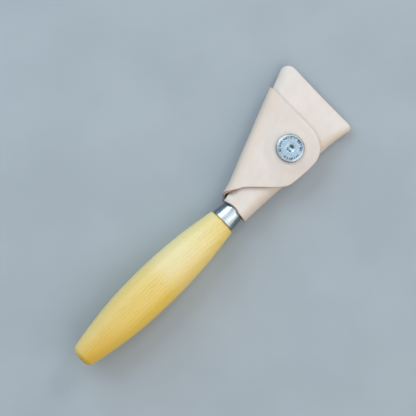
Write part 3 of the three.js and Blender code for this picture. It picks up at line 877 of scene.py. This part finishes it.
def birch_finish():
    """Oiled birch: growth rings about a pith beside the handle, with fine fibres along it."""
    f = Finish("birch", Coat_Weight=0.22, Coat_Roughness=0.22, Specular_IOR_Level=0.45)
    where = f.in_millimetres()
    wander = f.noise(f.place(where, scale=(0.012, 0.05, 0.05)), 1, 2)
    pith = f.place(where, location=(0, 34, -30), rotation=(0, math.radians(1.6), math.radians(-1.1)))
    from_pith = f.place(pith, scale=(0, 1, 1))
    ringed = f.node("ShaderNodeVectorMath", {0: from_pith}, "Value", operation="LENGTH")
    phase = f.math("ADD", f.math("MULTIPLY", ringed, 0.62), f.math("MULTIPLY", wander, 2.2))
    late = f.span(f.math("FRACT", phase), 0.45, 0.98)
    fibres = f.noise(f.place(where, scale=(0.05, 2.6, 2.6)), 1, 4, 0.65)
    flecks = f.noise(f.place(where, scale=(0.16, 5, 5)), 1, 2)
    clouds = f.noise(f.place(where, scale=(0.02, 0.09, 0.09)), 1, 3)
    along = f.node("ShaderNodeSeparateXYZ", {0: where}, "X")
    across = f.node("ShaderNodeSeparateXYZ", {0: where}, "Y")
    colour = f.blend(f.span(clouds, 0.3, 0.7), tint(240, 213, 102), tint(249, 235, 162))
    colour = f.blend(f.math("MULTIPLY", late, 0.27), colour, tint(214, 166, 66))
    colour = f.blend(f.span(fibres, 0.42, 0.68, 0, 0.55), colour, tint(252, 238, 170))
    colour = f.blend(f.span(flecks, 0.58, 0.7, 0, 0.45), colour, tint(190, 138, 54))
    colour = f.blend(f.span(along, 84, 35, 0, 0.46), colour, tint(234, 186, 50))
    # Painted shade: deeper golden towards the butt on the -y side, where less light falls.
    butt_side_painted_shade = f.math("MULTIPLY", f.span(along, 38, 2, 0, 1), f.span(across, 5, -6, 0.05, 0.7))
    colour = f.blend(butt_side_painted_shade, colour, tint(226, 170, 34))
    # Painted sheen: paler towards the butt on the +y side.
    butt_painted_sheen = f.math("MULTIPLY", f.span(along, 34, 10, 0, 0.3), f.span(across, -1, 5, 0, 1))
    colour = f.blend(butt_painted_sheen, colour, tint(255, 240, 190))
    # Painted highlight: a pale glossy patch on the middle of the handle.
    pale_edge_and_sheen = f.math("MULTIPLY", f.span(along, 56, 69, 0, 0.5), f.span(along, 98, 78, 0.5, 1))
    colour = f.blend(pale_edge_and_sheen, colour, tint(252, 244, 208))
    # Painted shade and sheen: warmer and more saturated on the -y side, paler on the +y side, as the light
    # falls across the handle.
    colour = f.blend(f.span(across, 1, -10, 0, 0.6), colour, tint(255, 214, 74))
    colour = f.blend(f.span(across, 2, 9, 0, 0.4), colour, tint(255, 240, 172))
    rough = f.span(fibres, 0.3, 0.7, 0.34, 0.48)
    grained = f.bump(late, 0.03, 0.5)
    normal = f.bump(fibres, 0.05, 0.6, grained)
    return f.surface(Base_Color=colour, Roughness=rough, Normal=normal)


def turned_steel_finish():
    """A polished ferrule with faint lathe lines round it."""
    f = Finish("ferrule_steel", Metallic=1.0)
    where = f.in_millimetres()
    lines = f.noise(f.place(where, scale=(9, 0.05, 0.05)), 1, 3, 0.7)
    smears = f.noise(f.place(where, scale=(0.08, 1.1, 1.1)), 1, 4, 0.6)
    up = f.node("ShaderNodeSeparateXYZ", {0: where}, "Z")
    colour = f.blend(f.span(smears, 0.35, 0.65), tint(176, 196, 210), tint(214, 228, 236))
    # Painted shade: darker towards the bottom of the ferrule, standing for the shaded floor seen in its
    # lower flanks.
    colour = f.blend(f.span(up, 15.2, 12.9, 0, 0.9), colour, tint(112, 126, 136))
    uneven = f.math("ADD", f.math("MULTIPLY", lines, 0.5), f.math("MULTIPLY", smears, 0.5))
    rough = f.span(uneven, 0.3, 0.7, 0.17, 0.34)
    return f.surface(Base_Color=colour, Roughness=rough, Normal=f.bump(lines, 0.008, 0.5))


def blade_finish():
    """Ground carbon steel: scratches up and down the blade, and stains that vary at random."""
    f = Finish("blade_steel", Metallic=1.0)
    where = f.in_millimetres()
    scratches = f.noise(f.place(where, scale=(7, 7, 0.25)), 1, 3, 0.7)
    stains = f.noise(where, 0.25, 4, 0.6)
    colour = f.blend(f.span(stains, 0.3, 0.7), tint(168, 171, 174), tint(202, 206, 210))
    rough = f.span(scratches, 0.3, 0.7, 0.22, 0.4)
    return f.surface(Base_Color=colour, Roughness=rough, Normal=f.bump(scratches, 0.02, 0.6))


def snap_finish():
    """Plated pressed metal, brushed in rings, with darkened stamped marks."""
    f = Finish("snap_metal", Metallic=1.0)
    where = f.in_millimetres()
    centred = f.place(where, scale=(1, 1, 0), location=(-SNAP[0], -SNAP[1], 0))
    radius = f.node("ShaderNodeVectorMath", {0: centred}, "Value", operation="LENGTH")
    around = f.node("ShaderNodeCombineXYZ", {0: radius})
    rings = f.noise(around, 5, 3, 0.8)
    speckle = f.noise(f.place(centred, scale=(0.6, 1.5, 1), rotation=(0, 0, 0.6)), 0.9, 4, 0.75)
    colour = f.blend(f.span(speckle, 0.35, 0.65), tint(166, 194, 212), tint(198, 218, 232))
    # Painted highlight: a near-white ring on the cap's rim.
    colour = f.blend(f.span(radius, 6.2, 6.4, 0, 0.9), colour, tint(224, 240, 250))
    # Painted shade: a dark ring round the cap's outer edge, as the shadow at its wall.
    colour = f.blend(f.span(radius, 7.2, 7.42, 0, 0.75), colour, tint(58, 66, 74))
    colour = f.blend(f.math("MULTIPLY", f.attribute("marks"), 0.8), colour, tint(62, 92, 116))
    rough = f.math("MULTIPLY", f.span(speckle, 0.3, 0.7, 0.24, 0.46), f.span(radius, 6.2, 6.4, 1, 1.45))
    normal = f.bump(speckle, 0.08, 0.5, f.bump(rings, 0.02, 0.6))
    return f.surface(Base_Color=colour, Roughness=rough, Normal=normal)


def spring_finish():
    f = Finish("spring_wire", Metallic=1.0)
    drawn = f.noise(f.in_millimetres(), 2.5, 3)
    colour = f.blend(f.span(drawn, 0.3, 0.7), tint(168, 132, 72), tint(206, 172, 108))
    return f.surface(Base_Color=colour, Roughness=f.span(drawn, 0.3, 0.7, 0.25, 0.4))


def floor_finish():
    f = Finish("floor", Specular_IOR_Level=0.2)
    where = f.in_millimetres()
    paper = f.noise(where, 0.02, 3)
    colour = f.blend(f.span(paper, 0.3, 0.7), tint(172, 184, 194), tint(178, 190, 200))
    return f.surface(Base_Color=colour, Roughness=f.span(paper, 0.3, 0.7, 0.8, 0.9))


# ---- Pieces ----

lift = max(x * math.sin(KNIFE_TILT) + r * math.cos(KNIFE_TILT) for x, r in handle_profile())
front_surface = front_top(SNAP[0]) - SNAP_FRONT_SINK
flap_surface = front_top(SNAP[0]) + LAYER_STEP + SNAP_FLAP_RISE

leather = leather_finish()
plated = snap_finish()
make_handle(birch_finish(), lift)
make_ferrule(turned_steel_finish(), lift)
make_blade(blade_finish(), lift)
make_wrap(leather)
make_flap(leather)
make_cap(plated, flap_surface)
make_socket(plated, flap_surface - LEATHER, front_surface)
make_spring(spring_finish(), front_surface)
make_stud(plated, front_surface)
make_post(plated, front_surface)

# ---- Floor, camera and light ----

VIEW_TURN = math.radians(44)
VIEW_CENTRE = (104.3, 10.3)
VIEW_WIDTH = 218.8
VIEW_HEIGHT = 800
OBJECT_HEIGHT = 12
SENSOR = 36


def make_floor():
    mesh = bpy.data.meshes.new("floor")
    reach = 4.0
    under = -0.0001
    corners = [(x * reach, y * reach, under) for x, y in [(-1, -1), (1, -1), (1, 1), (-1, 1)]]
    mesh.from_pydata(corners, [], [(0, 1, 2, 3)])
    mesh.materials.append(floor_finish())
    floor = bpy.data.objects.new("floor", mesh)
    bpy.context.scene.collection.objects.link(floor)


def make_camera():
    data = bpy.data.cameras.new("camera")
    data.sensor_width = SENSOR
    data.lens = SENSOR * (VIEW_HEIGHT - OBJECT_HEIGHT) / VIEW_WIDTH
    camera = bpy.data.objects.new("camera", data)
    camera.location = Vector(SHIFT) + Vector((*VIEW_CENTRE, VIEW_HEIGHT)) * MM
    camera.rotation_euler = (0, 0, -VIEW_TURN)
    bpy.context.scene.collection.objects.link(camera)
    bpy.context.scene.camera = camera


def make_lamp(name, towards, distance, size, power, colour):
    """A square soft lamp that shines on the object from this direction."""
    data = bpy.data.lights.new(name, "AREA")
    data.size = size
    data.energy = power
    data.color = colour
    lamp = bpy.data.objects.new(name, data)
    direction = Vector(towards).normalized()
    lamp.location = direction * distance
    lamp.rotation_mode = "QUATERNION"
    lamp.rotation_quaternion = direction.to_track_quat("Z", "Y")
    bpy.context.scene.collection.objects.link(lamp)


def make_sky():
    """Soft light from above that falls off towards the horizon."""
    world = bpy.data.worlds.new("sky")
    world.use_nodes = True
    tree = world.node_tree
    coordinates = tree.nodes.new("ShaderNodeTexCoord")
    upward = tree.nodes.new("ShaderNodeVectorMath")
    upward.operation = "DOT_PRODUCT"
    upward.inputs[1].default_value = Vector((0.2, 0.0, 1)).normalized()
    ramp = tree.nodes.new("ShaderNodeValToRGB")
    ramp.color_ramp.interpolation = "EASE"
    stops = [
        (0.0, (0.04, 0.05, 0.06, 1)), (0.5, (0.06, 0.07, 0.085, 1)), (0.62, (0.6, 0.62, 0.65, 1)),
        (0.82, (0.72, 0.75, 0.78, 1)), (1.0, (1.5, 1.55, 1.6, 1)),
    ]
    for position, _ in stops[2:]:
        ramp.color_ramp.elements.new(position)
    for element, (position, colour) in zip(ramp.color_ramp.elements, stops):
        element.position = position
        element.color = colour
    tree.links.new(coordinates.outputs["Generated"], upward.inputs[0])
    tree.links.new(upward.outputs["Value"], ramp.inputs[0])
    tree.links.new(ramp.outputs[0], tree.nodes["Background"].inputs["Color"])
    tree.nodes["Background"].inputs["Strength"].default_value = 0.62
    bpy.context.scene.world = world


make_floor()
make_camera()
make_sky()
make_lamp("key", (1, 0.12, 0.8), 1.1, 0.25, 1.5, (1, 0.98, 0.95))
make_lamp("window", (0.1, 1, 0.75), 1.1, 0.9, 6.4, (0.84, 0.94, 1))
make_lamp("fill", (0.1, -1, 0.85), 1.1, 1.25, 5.6, (1, 0.89, 0.76))
bpy.context.scene.view_settings.view_transform = "Standard"
